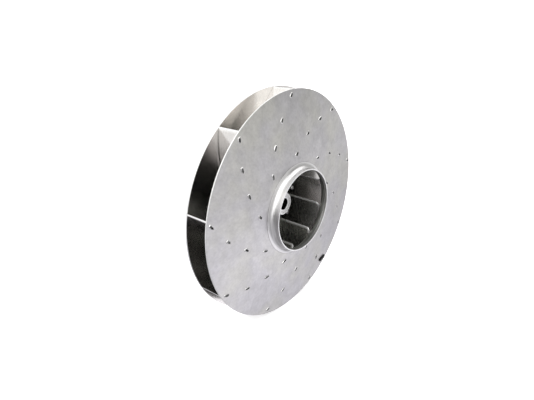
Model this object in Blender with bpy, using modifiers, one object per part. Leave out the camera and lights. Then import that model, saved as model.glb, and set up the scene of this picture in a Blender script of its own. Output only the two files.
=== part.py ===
"""Closed centrifugal fan wheel, single inlet, with backward curved sheet blades.

The wheel is built on a local frame whose +Z axis is the shaft axis, pointing out of the inlet, and whose
origin is the middle of the hub bore. The empty "shaft_axis" carries every piece and turns that frame so
that in the world the shaft lies along Y, the inlet faces -Y and +Z is up. Lengths are in metres.
"""

import math

import bmesh
import bpy
from mathutils import Matrix, Vector

# Driving dimensions of the wheel
OUTER_RADIUS = 0.280
OUTLET_WIDTH = 0.054
EYE_RADIUS = 0.098
LIP_REACH = 0.047
SHROUD_FALL = 0.1332
BACK_THICKNESS = 0.004
SHROUD_THICKNESS = 0.003
SEAM_GAP = 0.0003

# Driving dimensions of the spun inlet ring
BEND_RADIUS = 0.017
BEND_STEPS = 4
LIP_CHAMFER = 0.0006

# Driving dimensions of the blades and of the tabs that hold them in the two plates
BLADE_COUNT = 9
BLADE_THICKNESS = 0.0025
BLADE_SLOPE = math.radians(44.4)
BLADE_TIP_ANGLE = math.radians(88.4)
BLADE_ROOT_RADIUS = 0.100
BLADE_CORNER = 0.010
BLADE_TIP_INSET = 0.0004
TAB_LENGTH = 0.012
TAB_OUTER_RADIUS = 0.2675
TAB_PITCH = 0.044
TAB_COUNT = 4
TAB_INSET = 0.0002

# Driving dimensions of the hub, its stiffening disc and the rivets
HUB_LENGTH = 0.060
HUB_RADIUS = 0.029
HUB_CHAMFER = 0.002
HUB_REACH = 0.040
BORE_RADIUS = 0.014
BORE_CHAMFER = 0.001
KEY_WIDTH = 0.008
KEY_DEPTH = 0.0033
DISC_RADIUS = 0.099
DISC_THICKNESS = 0.005
RIVET_COUNT = 8
RIVET_CIRCLE = 0.087
RIVET_FIRST_ANGLE = math.radians(5.2)
RIVET_RADIUS = 0.003
RIVET_HEAD_RADIUS = 0.0055
RIVET_HEAD_HEIGHT = 0.003
RIVET_CROWN_SHARE = 0.8
RIVET_TAIL_RADIUS = 0.0044
RIVET_TAIL_HEIGHT = 0.0018

# Driving dimensions of the balance weight near the rim
WEIGHT_LENGTH = 0.024
WEIGHT_WIDTH = 0.008
WEIGHT_THICKNESS = 0.0035
WEIGHT_EDGE = 0.0006
WEIGHT_CIRCLE = 0.262
WEIGHT_ANGLE = math.radians(-54.0)
WEIGHT_TWIST = math.radians(13.0)

# Divisions of the round pieces: a whole number for each blade, so that all blades meet like facets
PLATE_STEPS = 8 * BLADE_COUNT
HUB_STEPS = 36
RIVET_STEPS = 10

# Distances under which the modelling tools merge points
SCREW_MERGE = 0.00005
CAP_MERGE = 0.00001

# Heights on the shaft axis that follow from the driving dimensions
HUB_FRONT = HUB_LENGTH / 2
HUB_REAR = -HUB_LENGTH / 2
PLATE_FRONT = HUB_FRONT - HUB_REACH
PLATE_REAR = PLATE_FRONT - BACK_THICKNESS
DISC_FRONT = PLATE_REAR - SEAM_GAP
DISC_REAR = DISC_FRONT - DISC_THICKNESS
RIM_REAR = PLATE_FRONT + OUTLET_WIDTH
LIP_FRONT = RIM_REAR + LIP_REACH
FALL_ANGLE = math.atan(SHROUD_FALL)
SHROUD_RISE = SHROUD_THICKNESS / math.cos(FALL_ANGLE)

# Colour, roughness and metallic value of each finish
FINISHES = {
    "satin_sheet": ((0.62, 0.62, 0.62), 0.38, 1.0),
    "blade_sheet": ((0.50, 0.49, 0.47), 0.42, 1.0),
    "spun_ring": ((0.68, 0.68, 0.68), 0.30, 1.0),
    "turned_steel": ((0.58, 0.58, 0.59), 0.30, 1.0),
    "rivet_steel": ((0.55, 0.55, 0.54), 0.35, 1.0),
    "dark_weight": ((0.10, 0.10, 0.10), 0.55, 1.0),
}


def clear_scene():
    for old in list(bpy.data.objects):
        bpy.data.objects.remove(old, do_unlink=True)


def new_collection(name):
    collection = bpy.data.collections.new(name)
    bpy.context.scene.collection.children.link(collection)
    return collection


def finish(name):
    """The material of one finish, made once."""
    material = bpy.data.materials.get(name)
    if material is None:
        colour, roughness, metallic = FINISHES[name]
        material = bpy.data.materials.new(name)
        material.use_nodes = True
        shader = material.node_tree.nodes["Principled BSDF"]
        shader.inputs["Base Color"].default_value = (*colour, 1.0)
        shader.inputs["Roughness"].default_value = roughness
        shader.inputs["Metallic"].default_value = metallic
    return material


def add_piece(name, mesh, collection, parent, finish_name=None):
    """A mesh object in the collection, carried by the parent. With no finish it is a cutter."""
    piece = bpy.data.objects.new(name, mesh)
    collection.objects.link(piece)
    piece.parent = parent
    if finish_name is None:
        piece.hide_render = True
        piece.display_type = "WIRE"
    elif not mesh.materials:
        mesh.materials.append(finish(finish_name))
    return piece


def outline_mesh(name, points, closed):
    """The edges of a profile in the XZ plane, as (radius, height) points."""
    count = len(points)
    edges = [(i, i + 1) for i in range(count - 1)]
    if closed:
        edges.append((count - 1, 0))
    mesh = bpy.data.meshes.new(name)
    mesh.from_pydata([(radius, 0.0, height) for radius, height in points], edges, [])
    return mesh


def turn(piece, steps):
    """Turns the piece's profile about Z."""
    screw = piece.modifiers.new("turned", "SCREW")
    screw.axis = "Z"
    screw.angle = 2 * math.pi
    screw.steps = steps
    screw.render_steps = steps
    screw.use_merge_vertices = True
    screw.merge_threshold = SCREW_MERGE
    screw.use_smooth_shade = True


def boolean(piece, other, operation):
    change = piece.modifiers.new(operation.lower(), "BOOLEAN")
    change.operation = operation
    change.solver = "EXACT"
    change.object = other


def evaluated_mesh(piece, name):
    """A copy of the piece's mesh with its modifiers applied, in its own frame."""
    bpy.context.view_layer.update()
    depsgraph = bpy.context.evaluated_depsgraph_get()
    mesh = bpy.data.meshes.new_from_object(piece.evaluated_get(depsgraph))
    mesh.name = name
    return mesh


def shade_round(mesh):
    mesh.shade_smooth()
    mesh.set_sharp_from_angle(angle=math.radians(30))


def shroud_inner(radius):
    """Height of the shroud's inner face, a cone that rises towards the eye."""
    return RIM_REAR + SHROUD_FALL * (OUTER_RADIUS - radius)


def shroud_outer(radius):
    return shroud_inner(radius) + SHROUD_RISE


def bend_centre():
    """Centre of the ring's bend: its outer face is tangent to the shroud's outer face."""
    radius = EYE_RADIUS + BEND_RADIUS
    height = shroud_outer(radius) + (BEND_RADIUS - SHROUD_THICKNESS) / math.cos(FALL_ANGLE)
    return radius, height


def bend_point(radius, share):
    """A point of an arc about the bend's centre, from the throat (0) to the shroud's slope (1)."""
    centre_radius, centre_height = bend_centre()
    angle = share * (math.pi / 2 - FALL_ANGLE)
    return centre_radius - radius * math.cos(angle), centre_height - radius * math.sin(angle)


def blade_angle(radius):
    """Polar angle of the blade's middle line, a logarithmic spiral of constant slope."""
    return BLADE_TIP_ANGLE + math.log(OUTER_RADIUS / radius) / math.tan(BLADE_SLOPE)


def blade_line_point(angle, offset):
    """A point beside the blade's middle line, at a polar angle and a distance across the sheet."""
    radius = OUTER_RADIUS * math.exp(-(angle - BLADE_TIP_ANGLE) * math.tan(BLADE_SLOPE))
    middle = Vector((radius * math.cos(angle), radius * math.sin(angle), 0.0))
    across = angle + BLADE_SLOPE
    return middle + offset * Vector((math.cos(across), math.sin(across), 0.0))


def tab_radii():
    return [TAB_OUTER_RADIUS - i * TAB_PITCH for i in range(TAB_COUNT)]


def tab_half_reach(extra):
    """Half of a tab's extent along the radius."""
    return (TAB_LENGTH / 2 + extra) * math.sin(BLADE_SLOPE)


def sheet_wall(name, thickness, collection, parent):
    """A curved wall along the blade's line, taller than the wheel: a flat outline, extruded."""
    step = 2 * math.pi / PLATE_STEPS
    first = math.floor(BLADE_TIP_ANGLE / step)
    last = math.ceil(blade_angle(BLADE_ROOT_RADIUS) / step)
    angles = [i * step for i in range(first, last + 1)]
    side = [blade_line_point(angle, thickness / 2) for angle in angles]
    other_side = [blade_line_point(angle, -thickness / 2) for angle in reversed(angles)]
    points = side + other_side
    curve = bpy.data.curves.new(name, "CURVE")
    curve.dimensions = "2D"
    curve.fill_mode = "BOTH"
    curve.extrude = (LIP_FRONT - HUB_REAR) / 2
    spline = curve.splines.new("POLY")
    spline.points.add(len(points) - 1)
    for slot, point in zip(spline.points, points):
        slot.co = (point.x, point.y, 0.0, 1.0)
    spline.use_cyclic_u = True
    flat = bpy.data.objects.new(name + "_outline", curve)
    collection.objects.link(flat)
    mesh = evaluated_mesh(flat, name)
    bpy.data.objects.remove(flat, do_unlink=True)
    shape = bmesh.new()
    shape.from_mesh(mesh)
    bmesh.ops.remove_doubles(shape, verts=shape.verts, dist=CAP_MERGE)
    bmesh.ops.translate(shape, verts=shape.verts, vec=(0.0, 0.0, (LIP_FRONT + HUB_REAR) / 2))
    bmesh.ops.recalc_face_normals(shape, faces=shape.faces)
    shape.to_mesh(mesh)
    shape.free()
    return add_piece(name, mesh, collection, parent)


def blade_outline():
    """The blade's outline as (radius, height): straight rear edge, sloped front edge, both with tabs."""
    half = tab_half_reach(0.0)
    drop = SEAM_GAP / math.cos(FALL_ANGLE)
    tip = OUTER_RADIUS - BLADE_TIP_INSET
    rear = PLATE_FRONT + SEAM_GAP
    rear_tab = PLATE_REAR + TAB_INSET
    front = [(tip, shroud_inner(tip) - drop)]
    for radius in tab_radii():
        outer, inner = radius + half, radius - half
        front.append((outer, shroud_inner(outer) - drop))
        front.append((outer, shroud_outer(outer) - TAB_INSET))
        front.append((inner, shroud_outer(inner) - TAB_INSET))
        front.append((inner, shroud_inner(inner) - drop))
    corner_radius = BLADE_ROOT_RADIUS + BLADE_CORNER
    corner_height = shroud_inner(corner_radius) - drop - BLADE_CORNER
    for i in range(BEND_STEPS + 1):
        angle = math.pi / 2 * (1 + i / BEND_STEPS)
        radius = corner_radius + BLADE_CORNER * math.cos(angle)
        front.append((radius, corner_height + BLADE_CORNER * math.sin(angle)))
    back = [(BLADE_ROOT_RADIUS, rear)]
    for radius in reversed(tab_radii()):
        outer, inner = radius + half, radius - half
        back += [(inner, rear), (inner, rear_tab), (outer, rear_tab), (outer, rear)]
    back.append((tip, rear))
    return list(reversed(front + back))


def slot_rings(name, collection, parent):
    """Square rings about the shaft, one at each tab, that keep only the tabs of a sheet wall."""
    half = tab_half_reach(SEAM_GAP)
    shape = bmesh.new()
    for radius in tab_radii():
        inner, outer = radius - half, radius + half
        corners = [(outer, LIP_FRONT), (outer, HUB_REAR), (inner, HUB_REAR), (inner, LIP_FRONT)]
        verts = [shape.verts.new((r, 0.0, z)) for r, z in corners]
        for i in range(4):
            shape.edges.new((verts[i], verts[(i + 1) % 4]))
    mesh = bpy.data.meshes.new(name)
    shape.to_mesh(mesh)
    shape.free()
    rings = add_piece(name, mesh, collection, parent)
    turn(rings, PLATE_STEPS)
    return rings


def around_shaft(mesh, name, count, first_angle=0.0):
    """One mesh that holds copies of a mesh, spaced evenly about the shaft."""
    shape = bmesh.new()
    for i in range(count):
        copy = mesh.copy()
        copy.transform(Matrix.Rotation(first_angle + i * 2 * math.pi / count, 4, "Z"))
        shape.from_mesh(copy)
        bpy.data.meshes.remove(copy)
    joined = bpy.data.meshes.new(name)
    shape.to_mesh(joined)
    shape.free()
    return joined


def make_slot_cutter(cutters, parent):
    """The slots of both plates: the blade sheet, a little thicker, at each tab."""
    wall = sheet_wall("slot_wall", BLADE_THICKNESS + 2 * SEAM_GAP, cutters, parent)
    boolean(wall, slot_rings("slot_rings", cutters, parent), "INTERSECT")
    slugs = evaluated_mesh(wall, "slot_slugs")
    return add_piece("slot_cutter", around_shaft(slugs, "slot_cutter", BLADE_COUNT), cutters, parent)


def make_hole_cutter(cutters, parent):
    """The rivet holes of the back plate and the stiffening disc."""
    shape = bmesh.new()
    reach = BACK_THICKNESS + DISC_THICKNESS
    middle = (PLATE_FRONT + DISC_REAR) / 2
    place = Matrix.Translation((RIVET_CIRCLE, 0.0, middle))
    hole = RIVET_RADIUS + SEAM_GAP
    bmesh.ops.create_cone(shape, cap_ends=True, segments=RIVET_STEPS, radius1=hole, radius2=hole,
                          depth=2 * reach, matrix=place)
    pin = bpy.data.meshes.new("hole_pin")
    shape.to_mesh(pin)
    shape.free()
    pins = around_shaft(pin, "hole_cutter", RIVET_COUNT, RIVET_FIRST_ANGLE)
    return add_piece("hole_cutter", pins, cutters, parent)


def make_back_plate(parts, cutters, parent, slot_cutter, hole_cutter):
    """The flat rear sheet, cut once by the slots and the rivet holes together."""
    shape = bmesh.new()
    shape.from_mesh(slot_cutter.data)
    shape.from_mesh(hole_cutter.data)
    both = bpy.data.meshes.new("plate_cutter")
    shape.to_mesh(both)
    shape.free()
    plate_cutter = add_piece("plate_cutter", both, cutters, parent)
    hole = HUB_RADIUS + SEAM_GAP
    outline = [
        (OUTER_RADIUS, PLATE_FRONT),
        (OUTER_RADIUS, PLATE_REAR),
        (hole, PLATE_REAR),
        (hole, PLATE_FRONT),
    ]
    mesh = outline_mesh("back_plate", outline, closed=True)
    plate = add_piece("back_plate", mesh, parts, parent, "satin_sheet")
    turn(plate, PLATE_STEPS)
    boolean(plate, plate_cutter, "DIFFERENCE")


def make_front_shroud(parts, parent, slot_cutter):
    """The conical front sheet, from the rim to the ring's edge, cut square to the sheet."""
    edge_outer = bend_point(BEND_RADIUS - SHROUD_THICKNESS, 1.0)[0] + SEAM_GAP
    edge_inner = bend_point(BEND_RADIUS, 1.0)[0] + SEAM_GAP
    outline = [
        (edge_outer, shroud_outer(edge_outer)),
        (OUTER_RADIUS, shroud_outer(OUTER_RADIUS)),
        (OUTER_RADIUS, shroud_inner(OUTER_RADIUS)),
        (edge_inner, shroud_inner(edge_inner)),
    ]
    mesh = outline_mesh("front_shroud", outline, closed=True)
    shroud = add_piece("front_shroud", mesh, parts, parent, "satin_sheet")
    turn(shroud, PLATE_STEPS)
    boolean(shroud, slot_cutter, "DIFFERENCE")


def make_inlet_ring(parts, parent):
    """The spun ring: a short straight throat that bends out to the shroud's slope."""
    outer_lip = EYE_RADIUS + SHROUD_THICKNESS
    outline = [(EYE_RADIUS + LIP_CHAMFER, LIP_FRONT), (outer_lip - LIP_CHAMFER, LIP_FRONT),
               (outer_lip, LIP_FRONT - LIP_CHAMFER)]
    for i in range(BEND_STEPS + 1):
        outline.append(bend_point(BEND_RADIUS - SHROUD_THICKNESS, i / BEND_STEPS))
    for i in range(BEND_STEPS, -1, -1):
        outline.append(bend_point(BEND_RADIUS, i / BEND_STEPS))
    outline.append((EYE_RADIUS, LIP_FRONT - LIP_CHAMFER))
    mesh = outline_mesh("inlet_ring", outline, closed=True)
    ring = add_piece("inlet_ring", mesh, parts, parent, "spun_ring")
    turn(ring, PLATE_STEPS)


def make_blades(parts, cutters, parent):
    """The blades: one sheet cut to its outline, then set around the shaft."""
    wall = sheet_wall("blade_wall", BLADE_THICKNESS, cutters, parent)
    profile = outline_mesh("blade_keeper", blade_outline(), closed=True)
    keeper = add_piece("blade_keeper", profile, cutters, parent)
    turn(keeper, PLATE_STEPS)
    boolean(wall, keeper, "INTERSECT")
    mesh = evaluated_mesh(wall, "blade")
    shade_round(mesh)
    for i in range(BLADE_COUNT):
        blade = add_piece("blade_%d" % (i + 1), mesh, parts, parent, "blade_sheet")
        blade.rotation_euler = (0.0, 0.0, i * 2 * math.pi / BLADE_COUNT)


def make_hub(parts, cutters, parent):
    """The turned boss with its bore, and a keyway on the side of the bore away from +X."""
    outline = [
        (HUB_RADIUS - HUB_CHAMFER, HUB_FRONT),
        (HUB_RADIUS, HUB_FRONT - HUB_CHAMFER),
        (HUB_RADIUS, HUB_REAR + HUB_CHAMFER),
        (HUB_RADIUS - HUB_CHAMFER, HUB_REAR),
        (BORE_RADIUS + BORE_CHAMFER, HUB_REAR),
        (BORE_RADIUS, HUB_REAR + BORE_CHAMFER),
        (BORE_RADIUS, HUB_FRONT - BORE_CHAMFER),
        (BORE_RADIUS + BORE_CHAMFER, HUB_FRONT),
    ]
    hub = add_piece("hub", outline_mesh("hub", outline, closed=True), parts, parent, "turned_steel")
    turn(hub, HUB_STEPS)
    depth = BORE_RADIUS + KEY_DEPTH
    size = Matrix.Diagonal((depth, KEY_WIDTH, 2 * HUB_LENGTH, 1.0))
    shape = bmesh.new()
    bmesh.ops.create_cube(shape, size=1.0, matrix=Matrix.Translation((-depth / 2, 0.0, 0.0)) @ size)
    mesh = bpy.data.meshes.new("key_cutter")
    shape.to_mesh(mesh)
    shape.free()
    boolean(hub, add_piece("key_cutter", mesh, cutters, parent), "DIFFERENCE")


def make_hub_disc(parts, parent, hole_cutter):
    """The stiffening disc behind the back plate, round the boss."""
    hole = HUB_RADIUS + SEAM_GAP
    outline = [
        (DISC_RADIUS, DISC_FRONT),
        (DISC_RADIUS, DISC_REAR),
        (hole, DISC_REAR),
        (hole, DISC_FRONT),
    ]
    mesh = outline_mesh("hub_disc", outline, closed=True)
    disc = add_piece("hub_disc", mesh, parts, parent, "turned_steel")
    turn(disc, PLATE_STEPS // 2)
    boolean(disc, hole_cutter, "DIFFERENCE")


def make_rivets(parts, parent):
    """Domed rivets that hold the back plate to the stiffening disc."""
    seat = PLATE_FRONT + SEAM_GAP
    tail = DISC_REAR - SEAM_GAP
    tail_end = tail - RIVET_TAIL_HEIGHT
    outline = [
        (0.0, seat + RIVET_HEAD_HEIGHT),
        (RIVET_RADIUS, seat + RIVET_CROWN_SHARE * RIVET_HEAD_HEIGHT),
        (RIVET_HEAD_RADIUS, seat + (1 - RIVET_CROWN_SHARE) * RIVET_HEAD_HEIGHT),
        (RIVET_HEAD_RADIUS, seat),
        (RIVET_RADIUS, seat),
        (RIVET_RADIUS, tail),
        (RIVET_TAIL_RADIUS, tail),
        (RIVET_TAIL_RADIUS, tail_end),
        (0.0, tail_end),
    ]
    mesh = outline_mesh("rivet", outline, closed=False)
    for i in range(RIVET_COUNT):
        angle = RIVET_FIRST_ANGLE + i * 2 * math.pi / RIVET_COUNT
        rivet = add_piece("rivet_%d" % (i + 1), mesh, parts, parent, "rivet_steel")
        rivet.location = (RIVET_CIRCLE * math.cos(angle), RIVET_CIRCLE * math.sin(angle), 0.0)
        turn(rivet, RIVET_STEPS)


def make_balance_weight(parts, parent):
    """A small steel strip welded on the shroud's outer face near the rim."""
    shape = bmesh.new()
    bmesh.ops.create_cube(shape, size=1.0,
                          matrix=Matrix.Diagonal((WEIGHT_LENGTH, WEIGHT_WIDTH, WEIGHT_THICKNESS, 1.0)))
    mesh = bpy.data.meshes.new("balance_weight")
    shape.to_mesh(mesh)
    shape.free()
    weight = add_piece("balance_weight", mesh, parts, parent, "dark_weight")
    bevel = weight.modifiers.new("edges", "BEVEL")
    bevel.width = WEIGHT_EDGE
    bevel.segments = 1
    outward = Vector((math.cos(WEIGHT_ANGLE), math.sin(WEIGHT_ANGLE), 0.0))
    normal = (Vector((0.0, 0.0, 1.0)) + SHROUD_FALL * outward).normalized()
    along = Vector((math.cos(WEIGHT_TWIST), math.sin(WEIGHT_TWIST), 0.0))
    along = (along - along.dot(normal) * normal).normalized()
    across = normal.cross(along)
    seat = WEIGHT_CIRCLE * outward + Vector((0.0, 0.0, shroud_outer(WEIGHT_CIRCLE)))
    centre = seat + (WEIGHT_THICKNESS / 2 + 1.5 * SEAM_GAP) * normal
    turned = Matrix((along, across, normal)).transposed().to_4x4()
    weight.matrix_local = Matrix.Translation(centre) @ turned


def main():
    clear_scene()
    parts = new_collection("fan_wheel")
    cutters = new_collection("fan_wheel_cutters")
    shaft_axis = bpy.data.objects.new("shaft_axis", None)
    parts.objects.link(shaft_axis)
    slot_cutter = make_slot_cutter(cutters, shaft_axis)
    hole_cutter = make_hole_cutter(cutters, shaft_axis)
    make_back_plate(parts, cutters, shaft_axis, slot_cutter, hole_cutter)
    make_front_shroud(parts, shaft_axis, slot_cutter)
    make_inlet_ring(parts, shaft_axis)
    make_blades(parts, cutters, shaft_axis)
    make_hub(parts, cutters, shaft_axis)
    make_hub_disc(parts, shaft_axis, hole_cutter)
    make_rivets(parts, shaft_axis)
    make_balance_weight(parts, shaft_axis)
    shaft_axis.rotation_euler = (math.pi / 2, 0.0, 0.0)
    bpy.context.view_layer.update()


main()
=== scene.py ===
"""Finished look of a closed centrifugal fan wheel, laid out as a Blender add-on and run as a script.

Pieces are worked out in the wheel's own frame: z runs along the shaft axis out of the inlet, angles
turn counterclockwise as seen from the inlet, and heights are measured from the middle of the hub. In the
scene the inlet faces -Y, so a wheel point (x, y, z) stands at (x, -z, y). Lengths are in metres.
"""

import math

import bpy
import numpy as np
from bpy.props import FloatProperty, FloatVectorProperty, IntProperty, PointerProperty
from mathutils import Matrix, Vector


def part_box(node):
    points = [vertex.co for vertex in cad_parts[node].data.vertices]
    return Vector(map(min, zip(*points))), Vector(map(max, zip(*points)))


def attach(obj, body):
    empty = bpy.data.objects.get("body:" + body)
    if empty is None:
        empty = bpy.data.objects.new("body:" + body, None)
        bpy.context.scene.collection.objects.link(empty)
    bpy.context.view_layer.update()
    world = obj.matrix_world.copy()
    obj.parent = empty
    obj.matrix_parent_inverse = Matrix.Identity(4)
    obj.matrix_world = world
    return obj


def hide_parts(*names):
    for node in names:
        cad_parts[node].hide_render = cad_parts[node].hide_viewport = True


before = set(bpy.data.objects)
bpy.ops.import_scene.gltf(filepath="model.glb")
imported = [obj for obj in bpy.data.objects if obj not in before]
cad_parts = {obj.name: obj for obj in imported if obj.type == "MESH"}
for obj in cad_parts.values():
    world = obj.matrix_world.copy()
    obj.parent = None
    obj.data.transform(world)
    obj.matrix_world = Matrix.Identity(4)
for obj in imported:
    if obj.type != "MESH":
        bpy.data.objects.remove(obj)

bl_info = {
    "name": "Fan Wheel",
    "version": (1, 0, 0),
    "blender": (4, 5, 0),
    "location": "3D View > Sidebar > Fan Wheel",
    "description": "Builds the sheet metal, welds and finishes of a centrifugal fan wheel",
    "category": "Add Mesh",
}

TURN = 2 * math.pi
# Soft lights far round the wheel: name, azimuth from +X, height over the horizon and spread from the middle
# to the edge in degrees, and brightness
SOFT_LIGHTS = (
    ("overhead", 60, 85, 32, 1.25),
    ("front_high", 248, 46, 38, 1.65),
    ("left_high", 205, 28, 34, 1.75),
    ("rear_left_high", 174, 50, 34, 0.75),
    ("left", 221, 2, 22, 0.7),
    ("front_left", 236, -8, 34, 0.6),
    ("rear_left", 137, -6, 34, 1.1),
    ("rear_high", 120, 40, 45, 1.4),
    ("rear", 45, 24, 42, 1.0),
    ("rear_right", 45, -14, 34, 0.2),
    ("rear_low", 130, -42, 34, 0.4),
    ("rear_ground", 88, -58, 18, 0.8),
    ("right_high", 5, 55, 34, 2.0),
    ("front", 288, 6, 34, 0.45),
    ("front_right", 324, 8, 34, 0.25),
    ("right", 0, 8, 34, 0.3),
    ("near_ground", 305, -18, 34, 0.5),
    ("right_ground", 344, -22, 34, 0.68),
    ("ground", 312, -44, 34, 0.5),
    ("left_ground", 300, -38, 26, 0.35),
    ("under", 326, -75, 34, 0.2),
    ("under_left", 200, -48, 34, 0.45),
    ("under_front", 275, -60, 34, 0.4),
)
# Steps round the shaft of the two plates and the inlet ring
PLATE_STEPS = 360
# Most of a noise lies between these values
NOISE_RANGE = (0.3, 0.7)
# Inside the wheel the sheet is darkened with painted shade up to the first distance from the shaft, where
# the blades are also rougher, and is lighter and clean from the second
SHADE_AND_DULL_RANGE = (0.15, 0.23)
# Painted shade darkens the sheets between these distances from the seam of the inlet ring and the shroud
SEAM_SHADE = (0.0003, 0.0016)
# Edges of a surface that turn by more than this stay sharp
SHARP_TURN = math.radians(38)
PLATE_LOW, PLATE_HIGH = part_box("back_plate")
SHROUD_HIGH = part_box("front_shroud")[1]
RING_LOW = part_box("inlet_ring")[0]
HUB_LOW, HUB_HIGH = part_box("hub")
DISC_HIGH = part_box("hub_disc")[1]


def metres(name, description, default):
    return FloatProperty(name=name, description=description, default=default, unit="LENGTH")


def degrees(name, description, default):
    return FloatProperty(name=name, description=description, default=math.radians(default), subtype="ANGLE")


def whole(name, description, default, least=1):
    return IntProperty(name=name, description=description, default=default, min=least)


def tint(name, description, *default):
    return FloatVectorProperty(name=name, description=description, default=default, subtype="COLOR")


class FanWheelSizes(bpy.types.PropertyGroup):
    """Sizes of the wheel's pieces. Heights run along the shaft axis from the middle of the hub."""

    wheel_radius: metres("Wheel radius", "Outer radius of both plates", PLATE_HIGH.x)
    plate_front: metres("Plate front", "Height of the back plate's inner face", -PLATE_LOW.y)
    plate_rear: metres("Plate rear", "Height of the back plate's outer face", -PLATE_HIGH.y)
    rim_height: metres("Rim height", "Height of the shroud's inner face at the rim", -SHROUD_HIGH.y)
    lip_height: metres("Lip height", "Height of the inlet ring's lip", -RING_LOW.y)
    shroud_fall: FloatProperty(name="Shroud fall", description="Slope of the shroud's cone", default=0.1332)
    sheet: metres("Sheet", "Thickness of the shroud and the inlet ring", 0.003)
    eye_radius: metres("Eye radius", "Inner radius of the inlet ring", 0.098)
    bend_radius: metres("Bend radius", "Inner radius of the ring's bend into the shroud", 0.017)
    edge: metres("Edge", "Rounding of a trimmed sheet edge", 0.0005)
    blade_count: whole("Blades", "Number of blades", 9, 3)
    blade_sheet: metres("Blade sheet", "Thickness of a blade", 0.0025)
    blade_slope: degrees("Blade slope", "Slope of the blade to the circle about the shaft", 44.4)
    blade_tip_angle: degrees("Blade tip angle", "Polar angle of the first blade's tip", 88.4)
    blade_root: metres("Blade root", "Radius of the blade's inner edge", 0.100)
    blade_corner: metres("Blade corner", "Rounding of the blade's inner front corner", 0.010)
    tab_radius: metres("Tab radius", "Radius of the outermost tab", 0.2675)
    tab_pitch: metres("Tab pitch", "Radial distance between tabs", 0.044)
    tab_count: whole("Tabs", "Tabs along each edge of a blade", 4)
    tab_length: metres("Tab length", "Length of a welded tab", 0.012)
    hub_radius: metres("Hub radius", "Outer radius of the hub", HUB_HIGH.x)
    hub_front: metres("Hub front", "Height of the hub's front face", -HUB_LOW.y)
    hub_rear: metres("Hub rear", "Height of the hub's rear face", -HUB_HIGH.y)
    hub_chamfer: metres("Hub chamfer", "Chamfer on the hub's outer edges", 0.002)
    bore_radius: metres("Bore radius", "Radius of the shaft bore", 0.014)
    bore_chamfer: metres("Bore chamfer", "Chamfer at the bore's ends", 0.001)
    key_width: metres("Key width", "Width of the keyway", 0.008)
    key_depth: metres("Key depth", "Depth of the keyway past the bore", 0.0033)
    disc_radius: metres("Disc radius", "Radius of the stiffening disc", DISC_HIGH.x)
    disc_rear: metres("Disc rear", "Height of the disc's rear face", -DISC_HIGH.y)
    rivet_count: whole("Rivets", "Number of rivets", 8)
    rivet_circle: metres("Rivet circle", "Radius of the rivet circle", 0.087)
    rivet_angle: degrees("Rivet angle", "Polar angle of the first rivet", 5.2)
    rivet_head: metres("Rivet head", "Radius of a rivet's head", 0.0055)
    rivet_tail: metres("Rivet tail", "Radius of a rivet's closed end", 0.0044)
    rivet_shank: metres("Rivet shank", "Radius of a rivet's shank", 0.003)
    weight_length: metres("Weight length", "Length of the balance weight", 0.024)
    weight_width: metres("Weight width", "Width of the balance weight", 0.008)
    weight_thickness: metres("Weight thickness", "Thickness of the balance weight", 0.0035)
    weight_circle: metres("Weight circle", "Distance of the weight from the shaft axis", 0.262)
    weight_angle: degrees("Weight angle", "Polar angle of the weight", -54.0)
    weight_twist: degrees("Weight twist", "Turn of the strip from level", 13.0)


class FanWheelColours(bpy.types.PropertyGroup):
    """Colours of the wheel's finishes."""

    sheet: tint("Sheet", "Satin sheet of the plates", 0.56, 0.553, 0.568)
    tarnish: tint("Tarnish", "Faintly warm patches of the satin sheet", 0.565, 0.560, 0.538)
    inside: tint("Inside", "Inner faces of the plates near the rim", 0.74, 0.724, 0.706)
    # Painted shade: this dark colour stands for the shade deep inside the wheel round the hub
    shaded_inside: tint("Shaded", "Inner faces of the plates round the hub", 0.20, 0.205, 0.19)
    # Painted shade: the ring's inner face is a darker copy of the spun sheet
    throat: tint("Throat", "Inner face of the inlet ring", 0.60, 0.60, 0.58)
    spun: tint("Spun sheet", "Outer face of the inlet ring", 0.88, 0.875, 0.88)
    # Bright edge colour: part bare cut metal, part painted highlight along the rims, the ring's lip and the
    # blades' cut edges
    trimmed_and_highlit: tint("Trimmed edge", "Bright edge of cut sheet", 0.92, 0.92, 0.92)
    blade: tint("Blade", "Sheet of the blades near the rim", 0.74, 0.724, 0.706)
    # Painted shade: the blades' sheet is darker round the eye, where shade falls deep in the wheel
    blade_root: tint("Blade root", "Sheet of the blades round the eye", 0.56, 0.56, 0.54)
    turned: tint("Turned steel", "Machined hub and disc", 0.90, 0.90, 0.91)
    # Painted shade: the bore is near black, as the deep hole lies in shade
    bore: tint("Bore", "Oiled bore of the hub", 0.035, 0.035, 0.035)
    weld: tint("Weld", "Weld metal", 0.92, 0.92, 0.92)
    heat_tint: tint("Heat tint", "Weld metal dulled by the heat", 0.66, 0.65, 0.64)
    # Near black in the weld craters: dark oxide with painted shade
    crater_oxide_and_shade: tint("Crater", "Dark oxide in the craters of the welds", 0.02, 0.02, 0.02)
    weight: tint("Weight", "Dark strip of the balance weight", 0.03, 0.03, 0.03)
    floor: tint("Floor", "Pale floor", 0.90, 0.895, 0.91)


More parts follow.
